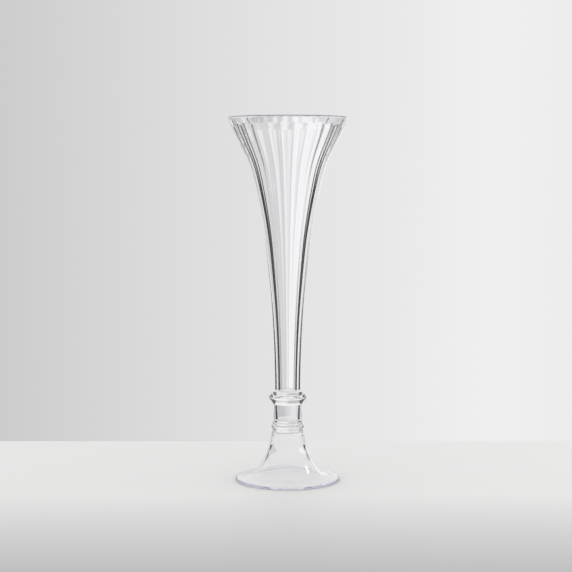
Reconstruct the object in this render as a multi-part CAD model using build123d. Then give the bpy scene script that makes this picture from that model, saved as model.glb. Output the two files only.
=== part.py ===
"""Clear glass trumpet vase: a fluted horn on a collar, a hollow neck, two small rings and a bell foot.

Millimetres, +Z up. The origin is the centre of the resting ring, so the table is the plane z = 0.
Every piece is turned round the Z axis; only the inside of the horn is fluted.
"""
import os
from math import cos, hypot, pi, sin

from build123d import *

# Heights of the six pieces, one standing on the other from the table up
bell_height = 87.0
foot_ring_height = 6.9
small_bead_height = 4.8
neck_height = 29.8
collar_height = 21.5
horn_height = 460.0

# Bell foot: a thin flared bell, open underneath, with a rounded rim
foot_radius = 88.0
crown_radius = 25.6
bell_wall = 4.4
crown_thickness = 4.6
foot_rim_thickness = 4.6
rest_ring_width = 5.0
rest_fade_width = 10.0
ceiling_round = 6.0

# The bell's outside from the crown down to the rim: share of the height, share of the spread in radius
bell_outline_shares = (
    (1.000, 0.000),
    (0.900, 0.030),
    (0.720, 0.088),
    (0.540, 0.158),
    (0.420, 0.228),
    (0.320, 0.312),
    (0.230, 0.398),
    (0.155, 0.478),
    (0.105, 0.570),
    (0.076, 0.720),
    (0.062, 0.880),
)

# Foot ring and small bead: two lens-edged discs of glass between the bell and the neck
foot_ring_radius = 27.5
foot_ring_seat_radius = 24.6
small_bead_radius = 25.3
small_bead_seat_radius = 23.2

# Hollow neck: a thick cup whose mouth is closed by the collar
neck_radius = 23.8
neck_edge_round = 0.9
cavity_mouth_radius = 19.0
cavity_floor_radius = 17.5
cavity_floor_thickness = 2.4
cavity_round = 3.2

# Collar: a heavy disc with a sloped, rounded edge and a socket for the horn's base
collar_radius = 32.4
collar_rim_height = 12.0
collar_rim_round = 3.6
collar_top_width = 2.3
socket_depth = 9.0
socket_round = 3.0

# Horn: heavy wall, plain outside, shallow flutes inside that end in arches at a plain band under the lip
lip_radius = 100.0
throat_radius = 21.7
lip_round = 1.7
flute_count = 22
points_per_flute = 4
flute_turn_share = 0.5
flute_depth_at_throat_share = 0.008
flute_depth_at_lip_share = 0.016
wall_at_throat = 9.4
wall_at_lip = 21.5
floor_height = 8.0
floor_round = 4.5
band_wall_at_lip = 20.8
band_wall_at_root = 19.0

# The horn's outside from the collar up to the lip: share of the height, share of the flare in radius
horn_outline_shares = (
    (0.000, 0.000),
    (0.109, 0.010),
    (0.217, 0.035),
    (0.326, 0.076),
    (0.435, 0.134),
    (0.543, 0.203),
    (0.652, 0.307),
    (0.761, 0.447),
    (0.826, 0.553),
    (0.891, 0.715),
    (0.957, 0.900),
    (1.000, 1.000),
)

# The row of the horn's outline at whose level the plain band has its root
band_root_row = -3

# Directions of the outlines at their ends: share outwards, share upwards
upright_shares = (0, 1)
lip_direction_shares = (1, 3)
rest_direction_shares = (-1, 0.2)

# How far a cutting shape runs past the face that it cuts
overrun = 2.0

# Levels of the joints, from the table up
foot_ring_level = bell_height
small_bead_level = foot_ring_level + foot_ring_height
neck_level = small_bead_level + small_bead_height
collar_level = neck_level + neck_height
throat_level = collar_level + collar_height
lip_level = throat_level + horn_height


def turned(outline):
    """The solid that a closed half outline, drawn as (radius, height), sweeps round the axis."""
    return revolve(Plane.XZ * make_face(outline), Axis.Z)


def offset_inwards(points, wall):
    """The points moved by the wall at right angles to the run of their outline, towards the axis side."""
    moved = []
    for index, (radius, height) in enumerate(points):
        before = points[max(index - 1, 0)]
        after = points[min(index + 1, len(points) - 1)]
        run = hypot(after[0] - before[0], after[1] - before[1])
        across = (after[1] - before[1]) / run
        along = (after[0] - before[0]) / run
        moved.append((radius + wall * across, height - wall * along))
    return moved


def bell_outline():
    """Outside of the bell from the crown's edge down to the rim, as (radius, height)."""
    spread = foot_radius - crown_radius
    return [(crown_radius + spread * out, bell_height * up) for up, out in bell_outline_shares]


def bell_foot():
    """A thin bell, open underneath, that rests on a flat ring inside its rounded rim."""
    outside = bell_outline()
    inside = offset_inwards(outside, bell_wall)
    rim_centre = foot_radius - foot_rim_thickness / 2
    hollow = [
        (radius, height)
        for radius, height in inside
        if height < bell_height - crown_thickness - ceiling_round and radius < rim_centre - rest_fade_width
    ]
    rest_outer = (rim_centre, 0)
    rest_inner = (rim_centre - rest_ring_width, 0)
    rim_top = (rim_centre, foot_rim_thickness)
    ceiling = bell_height - crown_thickness
    crown = Line((0, bell_height), outside[0])
    flank = Spline(*outside, rim_top, tangents=((0, -1), (1, 0)))
    rim = ThreePointArc(rim_top, (foot_radius, foot_rim_thickness / 2), rest_outer)
    rest = Line(rest_outer, rest_inner)
    ceiling_edge = (hollow[0][0] - ceiling_round, ceiling)
    under = Spline(rest_inner, *reversed(hollow), ceiling_edge, tangents=(rest_direction_shares, (-1, 0)))
    roof = Line(ceiling_edge, (0, ceiling))
    axis = Line((0, ceiling), (0, bell_height))
    return turned([crown, flank, rim, rest, under, roof, axis])


def lens_disc(level, height, edge_radius, seat_radius):
    """A disc with two flat seats and a bulging edge."""
    bottom = Line((0, level), (seat_radius, level))
    edge = ThreePointArc((seat_radius, level), (edge_radius, level + height / 2), (seat_radius, level + height))
    top = Line((seat_radius, level + height), (0, level + height))
    axis = Line((0, level + height), (0, level))
    return turned([bottom, edge, top, axis])


def hollow_neck():
    """A thick cup; the collar closes its mouth, so the air inside it is sealed."""
    floor_level = neck_level + cavity_floor_thickness
    outline = Polyline(
        (0, neck_level),
        (neck_radius, neck_level),
        (neck_radius, collar_level),
        (cavity_mouth_radius, collar_level),
        (cavity_floor_radius, floor_level),
        (0, floor_level),
        close=True,
    )
    face = make_face(outline)
    foot_corner = face.vertices().sort_by(Axis.X)[-2:].sort_by(Axis.Y)[0]
    face = fillet(foot_corner, neck_edge_round)
    cavity_corner = face.vertices().sort_by_distance((cavity_floor_radius, floor_level))[0]
    face = fillet(cavity_corner, cavity_round)
    return revolve(Plane.XZ * face, Axis.Z)


def collar_ring():
    """A heavy disc with a rounded edge; the horn's base stands in the socket on its top."""
    socket_level = throat_level - socket_depth
    rim_level = collar_level + collar_rim_height
    top_radius = throat_radius + collar_top_width
    outline = Polyline(
        (0, collar_level),
        (neck_radius, collar_level),
        (collar_radius, rim_level),
        (top_radius, throat_level),
        (throat_radius, throat_level),
        (throat_radius, socket_level),
        (0, socket_level),
        close=True,
    )
    face = make_face(outline)
    for corner, radius in (
        ((collar_radius, rim_level), collar_rim_round),
        ((throat_radius, socket_level), socket_round),
    ):
        face = fillet(face.vertices().sort_by_distance(corner)[0], radius)
    return revolve(Plane.XZ * face, Axis.Z)


def horn_outline():
    """Outside of the horn from the collar up to the lip, as (radius, height)."""
    flare = lip_radius - throat_radius
    return [(throat_radius + flare * out, throat_level + horn_height * up) for up, out in horn_outline_shares]


def flare_share(radius):
    """How far the horn has flared where its outside has this radius: 0 at the throat, 1 at the lip."""
    return (radius - throat_radius) / (lip_radius - throat_radius)


def flute_reach(radius):
    """How far the flutes reach from the axis where the horn's outside has this radius."""
    return radius - wall_at_throat - (wall_at_lip - wall_at_throat) * flare_share(radius)


def flute_depth_share(radius):
    """Depth of the flutes there, as a share of how far they reach."""
    growth = flute_depth_at_lip_share - flute_depth_at_throat_share
    return flute_depth_at_throat_share + growth * flare_share(radius)


def band_ends():
    """Inside of the plain band: its edge at the lip, and its root below the arches, as (radius, height)."""
    root_radius, root_level = horn_outline()[band_root_row]
    return (lip_radius - band_wall_at_lip, lip_level), (root_radius - band_wall_at_root, root_level)


def fluted_section(level, outer_radius):
    """Cross-section of the hollow: a smooth wave round it, made of one flute from each ridge to the next."""
    reach = flute_reach(outer_radius)
    depth = reach * flute_depth_share(outer_radius)
    step = 2 * pi / flute_count
    flutes = []
    for flute in range(flute_count):
        points = []
        for place in range(points_per_flute + 1):
            from_valley = place / points_per_flute - 1 / 2
            radius = reach - depth * (1 - cos(2 * pi * from_valley)) / 2
            angle = (flute + flute_turn_share + from_valley) * step - pi / 2
            points.append((radius * cos(angle), radius * sin(angle)))
        (first_x, first_y), (last_x, last_y) = points[0], points[-1]
        flutes.append(Spline(*points, tangents=((-first_y, first_x), (-last_y, last_x))))
    return Plane.XY.offset(level) * make_face(flutes)


def fluted_hollow():
    """Inside of the horn: the flutes follow the flare from a rounded floor up to the level of the lip."""
    floor_level = throat_level - socket_depth + floor_height
    floor_radius = flute_reach(throat_radius)
    sections = [fluted_section(floor_level - overrun, throat_radius)]
    for radius, level in horn_outline()[1:]:
        sections.append(fluted_section(level, radius))
    bound = make_face(Polyline(
        (0, floor_level),
        (floor_radius, floor_level),
        (lip_radius, lip_level),
        (0, lip_level),
        close=True,
    ))
    floor_corner = bound.vertices().sort_by_distance((floor_radius, floor_level))[0]
    bound = fillet(floor_corner, floor_round)
    return loft(sections) & revolve(Plane.XZ * bound, Axis.Z)


def trumpet_bowl():
    """The horn: a base button for the collar's socket, a heavy flared wall and a plain band under the lip."""
    base_level = throat_level - socket_depth
    lip_inner, band_root = band_ends()
    outline = [
        Line((0, base_level), (throat_radius, base_level)),
        Line((throat_radius, base_level), (throat_radius, throat_level)),
        Spline(*horn_outline(), tangents=(upright_shares, lip_direction_shares)),
        Line((lip_radius, lip_level), lip_inner),
        Line(lip_inner, band_root),
        Line(band_root, (0, band_root[1])),
        Line((0, band_root[1]), (0, base_level)),
    ]
    face = make_face(outline)
    for corner, radius in (
        ((throat_radius, base_level), socket_round),
        ((lip_radius, lip_level), lip_round),
        (lip_inner, lip_round),
    ):
        face = fillet(face.vertices().sort_by_distance(corner)[0], radius)
    return revolve(Plane.XZ * face, Axis.Z) - fluted_hollow()


pieces = {
    "bell_foot": bell_foot(),
    "foot_ring": lens_disc(foot_ring_level, foot_ring_height, foot_ring_radius, foot_ring_seat_radius),
    "small_bead": lens_disc(small_bead_level, small_bead_height, small_bead_radius, small_bead_seat_radius),
    "hollow_neck": hollow_neck(),
    "collar_ring": collar_ring(),
    "trumpet_bowl": trumpet_bowl(),
}

os.makedirs("parts", exist_ok=True)
for name, piece in pieces.items():
    export_step(piece, f"parts/{name}.step")
    print(name, round(piece.volume / 1000, 1), "cm3")
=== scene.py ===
from math import acos, cos, hypot, pi, radians, sin, sqrt, tan

import bpy
import numpy as np
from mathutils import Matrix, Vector


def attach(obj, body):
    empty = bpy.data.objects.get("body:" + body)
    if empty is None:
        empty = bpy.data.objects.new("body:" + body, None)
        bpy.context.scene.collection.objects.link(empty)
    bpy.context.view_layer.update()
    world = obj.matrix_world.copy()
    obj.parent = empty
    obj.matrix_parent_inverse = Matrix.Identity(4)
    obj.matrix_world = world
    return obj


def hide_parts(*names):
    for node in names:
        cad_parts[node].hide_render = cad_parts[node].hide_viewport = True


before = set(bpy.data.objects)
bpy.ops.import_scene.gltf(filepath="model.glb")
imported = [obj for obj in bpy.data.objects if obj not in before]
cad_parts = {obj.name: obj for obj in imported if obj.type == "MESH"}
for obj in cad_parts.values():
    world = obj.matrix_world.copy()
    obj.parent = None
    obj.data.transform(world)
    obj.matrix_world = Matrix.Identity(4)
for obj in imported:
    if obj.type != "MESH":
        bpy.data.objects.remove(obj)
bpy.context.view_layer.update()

# Bell foot
# A wide hollow bell of clear soda-lime glass, open underneath, pressed hot over a former and fire-polished,
# so its faces are glossy and a little wavy. It rests on a narrow flat ring just inside its rounded rim.

# The vase's sizes are in mm, and this makes metres of them
mm = 0.001
bell_height = 87.0
foot_radius = 88.0
crown_radius = 25.6
bell_wall = 4.4
crown_thickness = 4.6
foot_rim_thickness = 4.6
rest_ring_width = 5.0
rest_fade_width = 10.0
ceiling_round = 6.0
foot_ring_seat_radius = 24.6
bell_outline_shares = (
    (1.000, 0.000), (0.900, 0.030), (0.720, 0.088), (0.540, 0.158), (0.420, 0.228), (0.320, 0.312),
    (0.230, 0.398), (0.155, 0.478), (0.105, 0.570), (0.076, 0.720), (0.062, 0.880),
)

# Directions of its outlines at their ends: share outwards, share upwards
down_shares = (0, -1)
outward_shares = (1, 0)
inward_shares = (-1, 0)
rest_direction_shares = (-1, 0.2)

# Rows of the mesh along each side of the bell and round its rim, and columns round it and round other pieces
bell_rows = 110
rim_rows = 17
bell_columns = 320
plain_columns = 256

# Points closer than this many mm are one, edges that bend by fewer degrees than this are smooth, and a face
# belongs to a joint when more than this share of its corners does
merge_distance = 0.004
smooth_bend = 40
joint_share = 0.75


def smooth_run(points, count, start, end):
    """Points along the smooth curve through the given ones, which starts and ends in the given directions."""
    points = np.array(points, float)
    steps = np.hypot(*np.diff(points, axis=0).T)
    run = np.concatenate([[0], np.cumsum(steps)])
    slope = np.diff(points, axis=0) / steps[:, None]
    last = len(points) - 1
    matrix = np.eye(last + 1)
    right = np.zeros((last + 1, 2))
    right[0] = np.array(start) / hypot(*start)
    right[last] = np.array(end) / hypot(*end)
    for i in range(1, last):
        matrix[i, i - 1:i + 2] = steps[i], 2 * (steps[i - 1] + steps[i]), steps[i - 1]
        right[i] = 3 * (steps[i] * slope[i - 1] + steps[i - 1] * slope[i])
    speed = np.linalg.solve(matrix, right)
    at = np.linspace(0, run[-1], count)
    k = np.clip(np.searchsorted(run, at, side="right") - 1, 0, last - 1)
    h = steps[k][:, None]
    t = (at - run[k])[:, None] / h
    curve = (
        points[k] * (1 + 2 * t) * (1 - t) ** 2
        + points[k + 1] * t * t * (3 - 2 * t)
        + h * (speed[k] * t * (1 - t) ** 2 - speed[k + 1] * t * t * (1 - t))
    )
    return [tuple(p) for p in curve.tolist()]


def add(tree, kind, inputs=None, **settings):
    """Adds a node, sets it up, and fills its inputs with values or with links from other nodes' outputs."""
    node = tree.nodes.new(kind)
    for name, value in settings.items():
        setattr(node, name, value)
    for key, value in (inputs or {}).items():
        if isinstance(value, bpy.types.NodeSocket):
            tree.links.new(value, node.inputs[key])
        else:
            node.inputs[key].default_value = value
    return node


# The tree that turns a half outline round the vase's axis, as the glassmaker's mould does. Each outline point
# carries its radius and height, and for the horn also how far and how deep its flutes reach.
turning = bpy.data.node_groups.new("turned_glass", "GeometryNodeTree")
turning.interface.new_socket("Geometry", in_out="OUTPUT", socket_type="NodeSocketGeometry")
sockets = {}
for label, kind in (
    ("Outline", "Geometry"), ("Columns", "Int"), ("Flutes", "Int"), ("Turn", "Float"),
    ("Arch Blend", "Float"), ("Glass", "Material"), ("Fused Joint", "Material"),
):
    sockets[label] = turning.interface.new_socket(label, in_out="INPUT", socket_type="NodeSocket" + kind)
given = add(turning, "NodeGroupInput").outputs

# A flat sheet with one row for each outline point; every point of the sheet looks up the values of its row.
rows = add(
    turning, "GeometryNodeAttributeDomainSize", {"Geometry": given["Outline"]}, component="MESH"
).outputs["Point Count"]
round_count = add(turning, "ShaderNodeMath", {0: given["Columns"], 1: 1.0}, operation="ADD").outputs[0]
sheet = add(turning, "GeometryNodeMeshGrid", {"Vertices X": rows, "Vertices Y": round_count}).outputs["Mesh"]
index = add(turning, "GeometryNodeInputIndex").outputs[0]
share = add(turning, "ShaderNodeMath", {0: index, 1: round_count}, operation="DIVIDE").outputs[0]
row = add(turning, "ShaderNodeMath", {0: share}, operation="FLOOR").outputs[0]
column = add(turning, "ShaderNodeMath", {0: index, 1: round_count}, operation="MODULO").outputs[0]
lap = add(turning, "ShaderNodeMath", {0: column, 1: given["Columns"]}, operation="DIVIDE").outputs[0]
sampled = {}
for label in ("outline_radius", "outline_height", "flute_reach", "flute_depth", "fused"):
    value = add(turning, "GeometryNodeInputNamedAttribute", {"Name": label}, data_type="FLOAT").outputs[0]
    sampled[label] = add(
        turning, "GeometryNodeSampleIndex", {"Geometry": given["Outline"], "Value": value, "Index": row},
        data_type="FLOAT",
    ).outputs[0]

# The flutes are a wave round the piece. Where the plain band's face lies further out than the wave, it takes
# the wave's place, and the line where they meet draws the arches.
flute_lap = add(turning, "ShaderNodeMath", {0: lap, 1: given["Flutes"]}, operation="MULTIPLY").outputs[0]
from_valley = add(
    turning, "ShaderNodeMath", {0: flute_lap, 1: given["Turn"]}, operation="SUBTRACT"
).outputs[0]
wave_angle = add(turning, "ShaderNodeMath", {0: from_valley, 1: 2 * pi}, operation="MULTIPLY").outputs[0]
wave = add(turning, "ShaderNodeMath", {0: wave_angle}, operation="COSINE").outputs[0]
rise = add(turning, "ShaderNodeMath", {0: wave, 1: -0.5, 2: 0.5}, operation="MULTIPLY_ADD").outputs[0]
dip = add(turning, "ShaderNodeMath", {0: rise, 1: sampled["flute_depth"]}, operation="MULTIPLY").outputs[0]
kept = add(turning, "ShaderNodeMath", {0: 1.0, 1: dip}, operation="SUBTRACT").outputs[0]
fluted = add(turning, "ShaderNodeMath", {0: kept, 1: sampled["flute_reach"]}, operation="MULTIPLY").outputs[0]
reach = add(
    turning, "ShaderNodeMath", {0: fluted, 1: sampled["outline_radius"], 2: given["Arch Blend"]},
    operation="SMOOTH_MAX",
).outputs[0]
is_fluted = add(
    turning, "ShaderNodeMath", {0: sampled["flute_reach"], 1: 0.0}, operation="GREATER_THAN"
).outputs[0]
radius = add(
    turning, "ShaderNodeMix", {"Factor": is_fluted, "A": sampled["outline_radius"], "B": reach},
    data_type="FLOAT",
).outputs[0]

# The sheet is bent round the axis, closed along its seam and at its poles, and given its glass.
lap_angle = add(
    turning, "ShaderNodeMath", {0: lap, 1: 2 * pi, 2: -pi / 2}, operation="MULTIPLY_ADD"
).outputs[0]
cosine = add(turning, "ShaderNodeMath", {0: lap_angle}, operation="COSINE").outputs[0]
sine = add(turning, "ShaderNodeMath", {0: lap_angle}, operation="SINE").outputs[0]
east = add(turning, "ShaderNodeMath", {0: cosine, 1: radius}, operation="MULTIPLY").outputs[0]
north = add(turning, "ShaderNodeMath", {0: sine, 1: radius}, operation="MULTIPLY").outputs[0]
place = add(
    turning, "ShaderNodeCombineXYZ", {"X": east, "Y": north, "Z": sampled["outline_height"]}
).outputs[0]
marked = add(
    turning, "GeometryNodeStoreNamedAttribute",
    {"Geometry": sheet, "Name": "fused_here", "Value": sampled["fused"]}, data_type="FLOAT", domain="POINT",
).outputs[0]
formed = add(turning, "GeometryNodeSetPosition", {"Geometry": marked, "Position": place}).outputs[0]
closed = add(
    turning, "GeometryNodeMergeByDistance", {"Geometry": formed, "Distance": merge_distance * mm}
).outputs[0]
facing_out = add(turning, "GeometryNodeFlipFaces", {"Mesh": closed}).outputs[0]
smooth = add(
    turning, "GeometryNodeSetShadeSmooth", {"Geometry": facing_out, "Shade Smooth": True}, domain="FACE"
).outputs[0]
bend = add(turning, "GeometryNodeInputMeshEdgeAngle").outputs["Unsigned Angle"]
soft_bend = add(
    turning, "FunctionNodeCompare", {0: bend, 1: radians(smooth_bend)}, data_type="FLOAT",
    operation="LESS_THAN",
).outputs[0]
edged = add(
    turning, "GeometryNodeSetShadeSmooth", {"Geometry": smooth, "Shade Smooth": soft_bend}, domain="EDGE"
).outputs[0]
whole = add(turning, "GeometryNodeRealizeInstances", {"Geometry": edged}).outputs[0]
glazed = add(turning, "GeometryNodeSetMaterial", {"Geometry": whole, "Material": given["Glass"]}).outputs[0]
fused_mark = add(
    turning, "GeometryNodeInputNamedAttribute", {"Name": "fused_here"}, data_type="FLOAT"
).outputs[0]
on_joint = add(
    turning, "FunctionNodeCompare", {0: fused_mark, 1: joint_share}, data_type="FLOAT",
    operation="GREATER_THAN",
).outputs[0]
joined = add(
    turning, "GeometryNodeSetMaterial",
    {"Geometry": glazed, "Selection": on_joint, "Material": given["Fused Joint"]},
).outputs[0]
add(turning, "NodeGroupOutput", {"Geometry": joined})


def turned(
    name, outline, fused, columns=plain_columns, flutes=0, turn=0.0, blend=0.0, reach=None, depth=None
):
    """A closed glass piece from a half outline in mm, drawn from the axis back to the axis, anticlockwise.

    fused gives the first and the last outline point of each joint with the next piece.
    """
    count = len(outline)
    mesh = bpy.data.meshes.new(name)
    mesh.from_pydata([(r * mm, 0, z * mm) for r, z in outline], [(i, i + 1) for i in range(count - 1)], [])
    values = {
        "outline_radius": [r * mm for r, z in outline],
        "outline_height": [z * mm for r, z in outline],
        "flute_reach": [r * mm for r in reach] if reach else [0.0] * count,
        "flute_depth": depth or [0.0] * count,
        "fused": [float(any(first <= i <= last for first, last in fused)) for i in range(count)],
    }
    for label, row_values in values.items():
        mesh.attributes.new(label, "FLOAT", "POINT").data.foreach_set("value", row_values)
    piece = bpy.data.objects.new(name, mesh)
    bpy.context.collection.objects.link(piece)
    maker = piece.modifiers.new("turning", "NODES")
    maker.node_group = turning
    for label, value in (
        ("Columns", columns), ("Flutes", flutes), ("Turn", turn), ("Arch Blend", blend * mm),
        ("Glass", pressed_glass), ("Fused Joint", fused_joint),
    ):
        maker[sockets[label].identifier] = value
    evaluated = piece.evaluated_get(bpy.context.evaluated_depsgraph_get())
    plain = bpy.data.meshes.new_from_object(evaluated)
    piece.modifiers.remove(maker)
    piece.data = plain
    plain.name = name
    plain.attributes.remove(plain.attributes["fused_here"])
    # The sheet's own empty material slot comes first, and no face uses it
    plain.materials.pop(index=0)
    return piece


def linear(code):
    """An sRGB hex colour as the linear values that a shader takes."""
    channels = [int(code[i:i + 2], 16) / 255 for i in (1, 3, 5)]
    return [c / 12.92 if c <= 0.04045 else ((c + 0.055) / 1.055) ** 2.4 for c in channels] + [1.0]


# Clear soda-lime glass, pressed and fire-polished: colourless in the wall, with a faint lavender cast where
# light runs along the foot's thick rim, and a slow waviness left by the mould. The lip's outer edge is a much
# darker lavender grey, partly its cast and partly painted shade that draws the dark line along the lip. Each
# tint fades in between its two radii and between its two heights, in mm, and a wave is about 30 mm long.
wall_colour = "#FEFEFF"
rim_cast = "#DCD6EA"
rim_cast_radii = (84.5, 87.5)
rim_cast_heights = (12, 6)
lip_cast_and_shade = "#77738A"
lip_cast_and_shade_radii = (96.8, 97.6)
lip_cast_and_shade_heights = (607.8, 609)
wave_length = 30
wave_height = 0.04

pressed_glass = bpy.data.materials.new("pressed_soda_lime_glass")
pressed_glass.use_nodes = True
tree = pressed_glass.node_tree
tree.nodes.clear()
spot = add(tree, "ShaderNodeTexCoord").outputs["Object"]
level = add(tree, "ShaderNodeSeparateXYZ", {0: spot}).outputs["Z"]
across = add(tree, "ShaderNodeVectorMath", {0: spot, 1: (1.0, 1.0, 0.0)}, operation="MULTIPLY").outputs[0]
away = add(tree, "ShaderNodeVectorMath", {0: across}, operation="LENGTH").outputs["Value"]
near_rim = add(
    tree, "ShaderNodeMapRange",
    {"Value": away, "From Min": rim_cast_radii[0] * mm, "From Max": rim_cast_radii[1] * mm},
).outputs[0]
low = add(
    tree, "ShaderNodeMapRange",
    {"Value": level, "From Min": rim_cast_heights[0] * mm, "From Max": rim_cast_heights[1] * mm},
).outputs[0]
at_rim = add(tree, "ShaderNodeMath", {0: near_rim, 1: low}, operation="MULTIPLY").outputs[0]
foot_tone = add(
    tree, "ShaderNodeMix", {"Factor": at_rim, "A": linear(wall_colour), "B": linear(rim_cast)},
    data_type="RGBA",
).outputs["Result"]
# The lip's outer edge is darkened: partly the glass's lavender cast, partly painted shade for the lip's dark
# line.
high = add(
    tree, "ShaderNodeMapRange",
    {"Value": level, "From Min": lip_cast_and_shade_heights[0] * mm, "From Max": lip_cast_and_shade_heights[1] * mm},
).outputs[0]
outer_edge = add(
    tree, "ShaderNodeMapRange",
    {"Value": away, "From Min": lip_cast_and_shade_radii[0] * mm, "From Max": lip_cast_and_shade_radii[1] * mm},
).outputs[0]
at_lip_shade = add(tree, "ShaderNodeMath", {0: high, 1: outer_edge}, operation="MULTIPLY").outputs[0]
tone = add(
    tree, "ShaderNodeMix", {"Factor": at_lip_shade, "A": foot_tone, "B": linear(lip_cast_and_shade)}, data_type="RGBA"
).outputs["Result"]
waves = add(
    tree, "ShaderNodeTexNoise", {"Vector": spot, "Scale": 1 / (wave_length * mm), "Detail": 1.0}
).outputs["Fac"]
ripple = add(
    tree, "ShaderNodeBump", {"Strength": 1.0, "Distance": wave_height * mm, "Height": waves}
).outputs[0]
shader = add(
    tree, "ShaderNodeBsdfPrincipled",
    {"Base Color": tone, "Roughness": 0.0, "IOR": 1.5, "Transmission Weight": 1.0, "Normal": ripple},
).outputs[0]
add(tree, "ShaderNodeOutputMaterial", {"Surface": shader})

# Where two gathers of the same glass were joined hot, no surface is left between them, and light goes
# straight on.
fused_joint = bpy.data.materials.new("fused_glass_joint")
fused_joint.use_nodes = True
tree = fused_joint.node_tree
tree.nodes.clear()
straight_through = add(tree, "ShaderNodeBsdfTransparent").outputs[0]
add(tree, "ShaderNodeOutputMaterial", {"Surface": straight_through})

spread = foot_radius - crown_radius
bell_side = [(crown_radius + spread * out, bell_height * up) for up, out in bell_outline_shares]
rim_half = foot_rim_thickness / 2
rim_centre = foot_radius - rim_half
ceiling = bell_height - crown_thickness
hollow_side = []
for i, (r, z) in enumerate(bell_side):
    before = bell_side[max(i - 1, 0)]
    after = bell_side[min(i + 1, len(bell_side) - 1)]
    run = hypot(after[0] - before[0], after[1] - before[1])
    inner_r = r + bell_wall * (after[1] - before[1]) / run
    inner_z = z - bell_wall * (after[0] - before[0]) / run
    if inner_z < ceiling - ceiling_round and inner_r < rim_centre - rest_fade_width:
        hollow_side.append((inner_r, inner_z))
rest_inner = (rim_centre - rest_ring_width, 0)
ceiling_edge = (hollow_side[0][0] - ceiling_round, ceiling)
under = smooth_run(
    [rest_inner] + hollow_side[::-1] + [ceiling_edge], bell_rows, rest_direction_shares, inward_shares
)
rim_angles = np.linspace(-pi / 2, pi / 2, rim_rows)
rim = [(rim_centre + rim_half * cos(a), rim_half + rim_half * sin(a)) for a in rim_angles]
flank = smooth_run(bell_side + [(rim_centre, foot_rim_thickness)], bell_rows, down_shares, outward_shares)
crown = [(foot_ring_seat_radius, bell_height), (0, bell_height)]
outline = [(0, ceiling)] + under[::-1] + rim + flank[::-1][1:] + crown
bell = turned("bell_foot_glass", outline, [(len(outline) - 2, len(outline) - 1)], columns=bell_columns)
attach(bell, "root")
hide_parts("bell_foot")

# Foot ring
# A small disc of the same glass with a bulging edge on the crown of the bell. It was dropped on hot and
# marvered round, and is fused to the bell below and to the small bead above.
foot_ring_height = 6.9
foot_ring_radius = 27.5
small_bead_seat_radius = 23.2
lens_rows = 19

# A disc's lower joint ends this many mm inside the edge of its seat, so that the outline's points stay apart
seat_gap = 0.01


def lens_outline(level, height, edge_radius, seat_radius, upper_joint_radius):
    """Half outline of a disc with a bulging edge that is fused to what is below and above it."""
    bulge = edge_radius - seat_radius
    arc_radius = (bulge * bulge + height * height / 4) / (2 * bulge)
    arc_centre = edge_radius - arc_radius
    sweep = np.linspace(-height / 2, height / 2, lens_rows)
    edge = [(arc_centre + sqrt(arc_radius * arc_radius - h * h), level + height / 2 + h) for h in sweep]
    bottom = [(0, level), (seat_radius - seat_gap, level)]
    top = [(upper_joint_radius, level + height), (0, level + height)]
    return bottom + edge + top


outline = lens_outline(
    bell_height, foot_ring_height, foot_ring_radius, foot_ring_seat_radius, small_bead_seat_radius
)
ring = turned("foot_ring_glass", outline, [(0, 1), (len(outline) - 2, len(outline) - 1)])
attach(ring, "root")
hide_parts("foot_ring")

# Small bead
# A thinner disc of the same glass, dropped hot on the foot ring and marvered round like it. The neck stands
# on it, and all three are fused.
small_bead_level = bell_height + foot_ring_height
small_bead_height = 4.8
small_bead_radius = 25.3
neck_radius = 23.8
neck_edge_round = 0.9

outline = lens_outline(
    small_bead_level, small_bead_height, small_bead_radius, small_bead_seat_radius,
    neck_radius - neck_edge_round,
)
bead = turned("small_bead_glass", outline, [(0, 1), (len(outline) - 2, len(outline) - 1)])
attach(bead, "root")
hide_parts("small_bead")

# Hollow neck
# A thick cup of the same glass with a tapered hollow, left by the plunger. The collar is fused on its mouth,
# so the air inside is sealed, and the hollow shows as a clear window with darker sides.
neck_level = small_bead_level + small_bead_height
neck_height = 29.8
cavity_mouth_radius = 19.0
cavity_floor_radius = 17.5
cavity_floor_thickness = 2.4
cavity_round = 3.2
cavity_steps = 12
round_steps = 8


def rounded(before, corner, after, radius, count=round_steps):
    """Points of the arc that rounds a corner of an outline."""
    before, corner, after = (np.array(p, float) for p in (before, corner, after))
    back = (before - corner) / np.linalg.norm(before - corner)
    on = (after - corner) / np.linalg.norm(after - corner)
    half = acos(float(back @ on)) / 2
    centre = corner + (back + on) / np.linalg.norm(back + on) * radius / sin(half)
    first = corner + back * radius / tan(half) - centre
    second = corner + on * radius / tan(half) - centre
    sweep = pi - 2 * half
    arc = []
    for s in np.linspace(0, 1, count + 1):
        from_centre = (sin(sweep * (1 - s)) * first + sin(sweep * s) * second) / sin(sweep)
        arc.append(tuple((centre + from_centre).tolist()))
    return arc


collar_level = neck_level + neck_height
cavity_floor = neck_level + cavity_floor_thickness
edge_below = (neck_radius, neck_level)
edge_above = (neck_radius, collar_level)
mouth = (cavity_mouth_radius, collar_level)
outline = (
    [(0, neck_level), (neck_radius - neck_edge_round, neck_level)]
    + rounded((0, neck_level), edge_below, edge_above, neck_edge_round)[1:]
    + [edge_above, mouth]
    + rounded(mouth, (cavity_floor_radius, cavity_floor), (0, cavity_floor), cavity_round, cavity_steps)
    + [(0, cavity_floor)]
)
mouth_at = outline.index(mouth)
neck = turned("hollow_neck_glass", outline, [(0, 1), (mouth_at - 1, mouth_at)])
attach(neck, "root")
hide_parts("hollow_neck")

# Collar
# A heavy ring of the same glass with a sloped, rounded edge, tooled round while hot. The horn's base stands
# in the socket on its top, and its flat underside closes the neck.
collar_height = 21.5
collar_radius = 32.4
collar_rim_height = 12.0
collar_rim_round = 3.6
collar_rim_steps = 16
collar_top_width = 2.3
socket_depth = 9.0
socket_round = 3.0
throat_radius = 21.7

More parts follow.
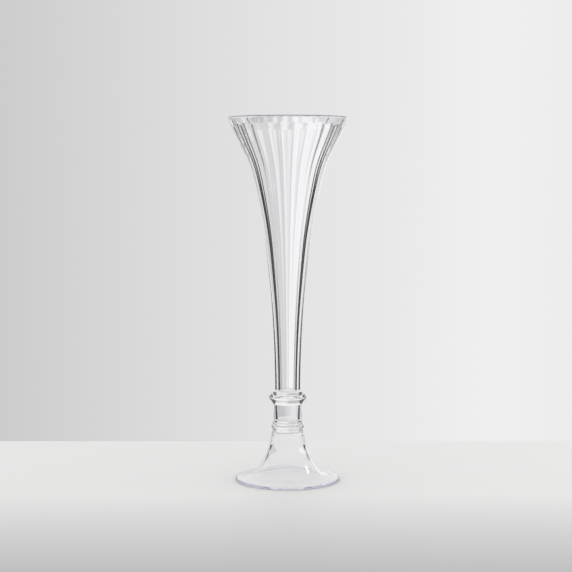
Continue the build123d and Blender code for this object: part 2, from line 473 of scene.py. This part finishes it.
throat_level = collar_level + collar_height
socket_level = throat_level - socket_depth
collar_edge = (collar_radius, collar_level + collar_rim_height)
collar_top = (throat_radius + collar_top_width, throat_level)
socket_mouth = (throat_radius, throat_level)
socket_corner = (throat_radius, socket_level)
outline = (
    [(0, collar_level), mouth, edge_above]
    + rounded(edge_above, collar_edge, collar_top, collar_rim_round, collar_rim_steps)
    + [collar_top, socket_mouth]
    + rounded(socket_mouth, socket_corner, (0, socket_level), socket_round)
    + [(0, socket_level)]
)
socket_at = outline.index(socket_mouth)
collar = turned("collar_ring_glass", outline, [(1, 2), (socket_at, len(outline) - 1)])
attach(collar, "root")
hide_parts("collar_ring")

# Horn
# The tall trumpet of the same glass, smooth outside. A fluted plunger pressed the shallow flutes inside, and
# they end in arches at a plain band. The lip is fire-polished round, and the base is fused into the collar.
horn_height = 460.0
lip_radius = 100.0
lip_round = 1.7
flute_count = 22
flute_turn_share = 0.5
flute_depth_at_throat_share = 0.008
flute_depth_at_lip_share = 0.016
wall_at_throat = 9.4
wall_at_lip = 21.5
floor_height = 8.0
floor_round = 4.5
band_wall_at_lip = 18.0
band_wall_at_root = 34.0
band_root_row = -3
arch_blend = 0.35
horn_outline_shares = (
    (0.000, 0.000), (0.109, 0.010), (0.217, 0.035), (0.326, 0.076), (0.435, 0.134), (0.543, 0.203),
    (0.652, 0.307), (0.761, 0.447), (0.826, 0.553), (0.891, 0.715), (0.957, 0.900), (1.000, 1.000),
)

# Directions of its outlines at their ends: share outwards, share upwards
upright_shares = (0, 1)
lip_direction_shares = (1, 3)

# Rows of the mesh: outside, close ones inside for the arches in the top 40 mm, wider ones from 43 mm down to
# the floor, and round the floor's edge. The rows next to the lip's rounding stay this far clear of it.
outer_rows = 120
arch_rows = 40
arch_rows_end = 40
wide_rows_start = 43
wide_rows = 86
floor_rows = 9
outer_clearance = 0.3
inner_clearance = 0.5
columns_per_flute = 16
reach_points = 400

# Below the arches the band's line would run on to the axis, so it stops at this radius, inside the flutes.
least_band_radius = 0.5

flare = lip_radius - throat_radius
lip_level = throat_level + horn_height
horn_side = []
for up, out in horn_outline_shares:
    horn_side.append((throat_radius + flare * out, throat_level + horn_height * up))
outer_run = smooth_run(horn_side, outer_rows, upright_shares, lip_direction_shares)
lip_corner = (lip_radius, lip_level)
lip_inner = (lip_radius - band_wall_at_lip, lip_level)
band_root = (horn_side[band_root_row][0] - band_wall_at_root, horn_side[band_root_row][1])
lip_outer_round = rounded(outer_run[-3], lip_corner, lip_inner, lip_round)
lip_inner_round = rounded(lip_corner, lip_inner, band_root, lip_round)
base = [(0, socket_level)] + rounded((0, socket_level), socket_corner, socket_mouth, socket_round)
outer_side = [p for p in outer_run if p[1] < lip_outer_round[0][1] - outer_clearance]

wall_growth = wall_at_lip - wall_at_throat
flute_side = [(r - wall_at_throat - wall_growth * (r - throat_radius) / flare, z) for r, z in horn_side]
reach_run = smooth_run(flute_side, reach_points, upright_shares, lip_direction_shares)
reach_radii = [r for r, z in reach_run]
reach_levels = [z for r, z in reach_run]
horn_floor = socket_level + floor_height
floor_reach = reach_radii[0]
arch_levels = np.linspace(lip_inner_round[-1][1] - inner_clearance, lip_level - arch_rows_end, arch_rows)
wide_levels = np.linspace(lip_level - wide_rows_start, horn_floor + floor_round, wide_rows)
band_slope = (lip_inner[0] - band_root[0]) / (lip_inner[1] - band_root[1])
inner_side = []
for z in list(arch_levels) + list(wide_levels):
    inner_side.append((max(band_root[0] + band_slope * (z - band_root[1]), least_band_radius), z))
floor_edge = []
for a in np.linspace(0, pi / 2, floor_rows)[1:]:
    floor_edge.append((floor_reach - floor_round * (1 - cos(a)), horn_floor + floor_round * (1 - sin(a))))

# The inner side's flutes reach as far as the wall leaves them; round the floor's edge they follow its curve.
outside = base + outer_side + lip_outer_round + lip_inner_round
floor_side = [(least_band_radius, z) for r, z in floor_edge]
outline = outside + inner_side + floor_side + [(0, horn_floor)]
full_reach = [float(np.interp(z, reach_levels, reach_radii)) for r, z in inner_side + floor_edge]
floor_reaches = [r for r, z in floor_edge]
reach = [0.0] * len(outside) + full_reach[:len(inner_side)] + floor_reaches + [0.0]
depth_growth = flute_depth_at_lip_share - flute_depth_at_throat_share
depth = [0.0] * len(outside)
for full in full_reach:
    flared = max((full - floor_reach) / (flare - wall_growth), 0)
    depth.append(flute_depth_at_throat_share + depth_growth * flared)
depth.append(0.0)
horn = turned(
    "trumpet_bowl_glass", outline, [(0, len(base))], columns=flute_count * columns_per_flute,
    flutes=flute_count, turn=flute_turn_share, blend=arch_blend, reach=reach, depth=depth,
)
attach(horn, "root")
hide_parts("trumpet_bowl")

# Floor
# A plain, matt, pale floor that ends behind the vase and keeps its shadow, with painted shade that darkens it
# towards the front. Through the glass it shows the studio's tones off to the sides, and some glow under the
# foot.
# Lengths are in metres.
floor_reach_aside = 4
floor_end_behind = 0.338
floor_drop = 0.3 * mm
floor_colour = "#F1F1F0"
front_shade_colour = "#BFBFC0"
front_shade_fade = (-0.12, -0.60)
floor_roughness = 0.6
studio_from = 0.2
behind_share = 24 / 360
glow_radius = 0.1
glow_share = 0.45
glow_white = (1.0, 1.0, 1.0, 1)

# What the glass sees round it: a tone for each bearing in degrees, 0 being straight behind the vase as the
# camera sees it. The two black stretches are the cards at its sides. Above and below them the studio is pale,
# and low down, past the floor's end, it is a little darker. Heights are shares of a direction's length.
surround_tones = (
    (-180, 0.85), (-110, 0.80), (-80, 0.80), (-71, 0.40), (-64, 0.00), (-38, 0.00), (-31, 0.71), (-20, 0.68),
    (-10, 0.61), (-4, 0.63), (0, 0.80), (4, 0.94), (10, 0.94), (20, 0.89), (31, 0.89), (38, 0.00), (64, 0.00),
    (71, 0.50), (80, 0.95), (110, 0.95), (180, 0.85),
)
card_middle = -0.16
card_half_height = 0.24
card_fade = 0.16
pale_studio = (0.9, 0.9, 0.9, 1)
low_from = -0.172
low_to = -0.182
low_shade = (0.81, 0.81, 0.83, 1)


def tone_ramp(tree, around, stops):
    """A grey for each bearing in degrees."""
    ramp = add(tree, "ShaderNodeValToRGB", {0: around})
    marks = ramp.color_ramp.elements
    for angle, _ in stops[1:-1]:
        marks.new((angle + 180) / 360)
    for mark, (angle, tone) in zip(marks, stops):
        mark.position = (angle + 180) / 360
        mark.color = (tone, tone, tone, 1)
    return ramp.outputs[0]


def bearing(tree, direction):
    """Bearing of a direction as a share of the full turn."""
    parts = add(tree, "ShaderNodeSeparateXYZ", {0: direction}).outputs
    angle = add(tree, "ShaderNodeMath", {0: parts["X"], 1: parts["Y"]}, operation="ARCTAN2").outputs[0]
    return add(tree, "ShaderNodeMath", {0: angle, 1: 0.5 / pi, 2: 0.5}, operation="MULTIPLY_ADD").outputs[0]


surround = bpy.data.node_groups.new("surround", "ShaderNodeTree")
surround.interface.new_socket("Direction", in_out="INPUT", socket_type="NodeSocketVector")
surround.interface.new_socket("Tone", in_out="OUTPUT", socket_type="NodeSocketColor")
direction = add(surround, "NodeGroupInput").outputs[0]
steep = add(surround, "ShaderNodeSeparateXYZ", {0: direction}).outputs["Z"]
from_middle = add(surround, "ShaderNodeMath", {0: steep, 1: card_middle}, operation="SUBTRACT").outputs[0]
height = add(surround, "ShaderNodeMath", {0: from_middle}, operation="ABSOLUTE").outputs[0]
past_cards = add(
    surround, "ShaderNodeMapRange",
    {"Value": height, "From Min": card_half_height, "From Max": card_half_height + card_fade},
).outputs[0]
cards = tone_ramp(surround, bearing(surround, direction), surround_tones)
both = add(
    surround, "ShaderNodeMix", {"Factor": past_cards, "A": cards, "B": pale_studio}, data_type="RGBA"
).outputs["Result"]
low = add(
    surround, "ShaderNodeMapRange", {"Value": steep, "From Min": low_from, "From Max": low_to}
).outputs[0]
shaded = add(
    surround, "ShaderNodeMix", {"Factor": low, "A": both, "B": low_shade}, data_type="RGBA",
    blend_type="MULTIPLY",
).outputs["Result"]
add(surround, "NodeGroupOutput", {0: shaded})

corners = [
    (-floor_reach_aside, -floor_reach_aside, 0), (floor_reach_aside, -floor_reach_aside, 0),
    (floor_reach_aside, floor_end_behind, 0), (-floor_reach_aside, floor_end_behind, 0),
]
floor_mesh = bpy.data.meshes.new("floor")
floor_mesh.from_pydata(corners, [], [(0, 1, 2, 3)])
floor = bpy.data.objects.new("floor", floor_mesh)
floor.location.z = -floor_drop
bpy.context.collection.objects.link(floor)

pale_floor = bpy.data.materials.new("matt_pale_floor")
pale_floor.use_nodes = True
tree = pale_floor.node_tree
tree.nodes.clear()
spot = add(tree, "ShaderNodeTexCoord").outputs["Object"]
away = add(tree, "ShaderNodeVectorMath", {0: spot}, operation="LENGTH").outputs["Value"]
backward = add(tree, "ShaderNodeSeparateXYZ", {0: spot}).outputs["Y"]
# Painted shade darkens the floor towards the front.
in_front_shade = add(
    tree, "ShaderNodeMapRange", {"Value": backward, "From Min": front_shade_fade[0], "From Max": front_shade_fade[1]}
).outputs[0]
floor_tone_and_shade = add(
    tree, "ShaderNodeMix", {"Factor": in_front_shade, "A": linear(floor_colour), "B": linear(front_shade_colour)},
    data_type="RGBA",
).outputs["Result"]
matt = add(
    tree, "ShaderNodeBsdfPrincipled", {"Base Color": floor_tone_and_shade, "Roughness": floor_roughness}
).outputs[0]

# Off to the sides and past the near part, a ray that came through or off the glass meets the studio's tones.
rays = add(tree, "ShaderNodeLightPath").outputs
undiffused = add(tree, "ShaderNodeMath", {0: rays["Diffuse Depth"], 1: 0.5}, operation="LESS_THAN").outputs[0]
bounced = add(tree, "ShaderNodeMath", {0: 1.0, 1: rays["Is Camera Ray"]}, operation="SUBTRACT").outputs[0]
by_glass = add(tree, "ShaderNodeMath", {0: undiffused, 1: bounced}, operation="MULTIPLY").outputs[0]
past = add(tree, "ShaderNodeMath", {0: away, 1: studio_from}, operation="GREATER_THAN").outputs[0]
straight_on = add(
    tree, "ShaderNodeMath", {0: bearing(tree, spot), 1: 0.5, 2: behind_share}, operation="COMPARE"
).outputs[0]
aside = add(tree, "ShaderNodeMath", {0: 1.0, 1: straight_on}, operation="SUBTRACT").outputs[0]
past_aside = add(tree, "ShaderNodeMath", {0: past, 1: aside}, operation="MULTIPLY").outputs[0]
as_studio = add(tree, "ShaderNodeMath", {0: past_aside, 1: by_glass}, operation="MULTIPLY").outputs[0]
studio_tone = add(tree, "ShaderNodeGroup", {0: spot}, node_tree=surround).outputs[0]
studio_light = add(tree, "ShaderNodeEmission", {"Color": studio_tone, "Strength": 1.0}).outputs[0]

# Under the foot, a ray through the glass sees part of a white glow, for the light that the foot lets through.
under_foot = add(tree, "ShaderNodeMath", {0: away, 1: glow_radius}, operation="LESS_THAN").outputs[0]
through_foot = add(
    tree, "ShaderNodeMath", {0: rays["Is Transmission Ray"], 1: under_foot}, operation="MULTIPLY"
).outputs[0]
lit_share = add(tree, "ShaderNodeMath", {0: through_foot, 1: glow_share}, operation="MULTIPLY").outputs[0]
glow = add(tree, "ShaderNodeEmission", {"Color": glow_white, "Strength": 1.0}).outputs[0]
under_glass = add(tree, "ShaderNodeMixShader", {0: lit_share, 1: matt, 2: glow}).outputs[0]
surface = add(tree, "ShaderNodeMixShader", {0: as_studio, 1: under_glass, 2: studio_light}).outputs[0]
add(tree, "ShaderNodeOutputMaterial", {"Surface": surface})
floor_mesh.materials.append(pale_floor)

# Studio
# Clear glass shows only what is round it: a pale wall behind the vase, and a dark card on each side, which
# draws the dark lines down its thick walls. A small lamp at the right draws the highlight on the foot.
wall_tones = (
    (-180, 0.70), (-60, 0.60), (-14, 0.56), (-4, 0.72), (0, 0.77), (4, 0.81), (8, 0.87), (14, 0.81),
    (60, 0.78), (180, 0.70),
)
lamp_place = (1.25, 0.2, 0.9)
lamp_aim = (0, 0, 0.05)
lamp_width = 0.06
lamp_length = 0.08
lamp_power = 0.52

# The camera sees the wall, the glass sees the tones round it, and matt surfaces are lit evenly.
studio = bpy.data.worlds.new("studio")
bpy.context.scene.world = studio
studio.use_nodes = True
tree = studio.node_tree
tree.nodes.clear()
ahead = add(tree, "ShaderNodeTexCoord").outputs["Generated"]
wall = tone_ramp(tree, bearing(tree, ahead), wall_tones)
around_glass = add(tree, "ShaderNodeGroup", {0: ahead}, node_tree=surround).outputs[0]
rays = add(tree, "ShaderNodeLightPath").outputs
diffused = add(
    tree, "ShaderNodeMath", {0: rays["Diffuse Depth"], 1: 0.5}, operation="GREATER_THAN"
).outputs[0]
lit = add(
    tree, "ShaderNodeMix", {"Factor": diffused, "A": around_glass, "B": pale_studio}, data_type="RGBA"
).outputs["Result"]
shown = add(
    tree, "ShaderNodeMix", {"Factor": rays["Is Camera Ray"], "A": lit, "B": wall}, data_type="RGBA"
).outputs["Result"]
background = add(tree, "ShaderNodeBackground", {"Color": shown}).outputs[0]
add(tree, "ShaderNodeOutputWorld", {"Surface": background})

lamp = bpy.data.lights.new("small_lamp", "AREA")
lamp.shape = "RECTANGLE"
lamp.size = lamp_width
lamp.size_y = lamp_length
lamp.energy = lamp_power
lamp_holder = bpy.data.objects.new("small_lamp", lamp)
bpy.context.collection.objects.link(lamp_holder)
lamp_holder.location = lamp_place
lamp_holder.rotation_euler = (Vector(lamp_aim) - Vector(lamp_place)).to_track_quat("-Z", "Y").to_euler()

# Camera
# It stands where the photograph was taken from: 2.43 m in front of the vase and 0.53 m up, looking
# 4.8 degrees down. Its angles are in radians.
camera_distance = 2.4262
camera_height = 0.5313
camera_tilt = 0.0836
camera_turn = 0.00117
lens_length = 91.45
sensor_width = 36

view = bpy.data.cameras.new("camera")
view.sensor_width = sensor_width
view.lens = lens_length
camera = bpy.data.objects.new("camera", view)
bpy.context.collection.objects.link(camera)
camera.location = (0, -camera_distance, camera_height)
camera.rotation_euler = (pi / 2 - camera_tilt, 0, camera_turn)
bpy.context.scene.camera = camera

# Light goes round inside thick glass many times before it leaves, so its paths are followed that far. Shorter
# ones leave dark stretches in the foot's rim.
paths = bpy.context.scene.cycles
paths.max_bounces = 64
paths.glossy_bounces = 48
paths.transmission_bounces = 24
bpy.context.scene.view_settings.view_transform = "Standard"
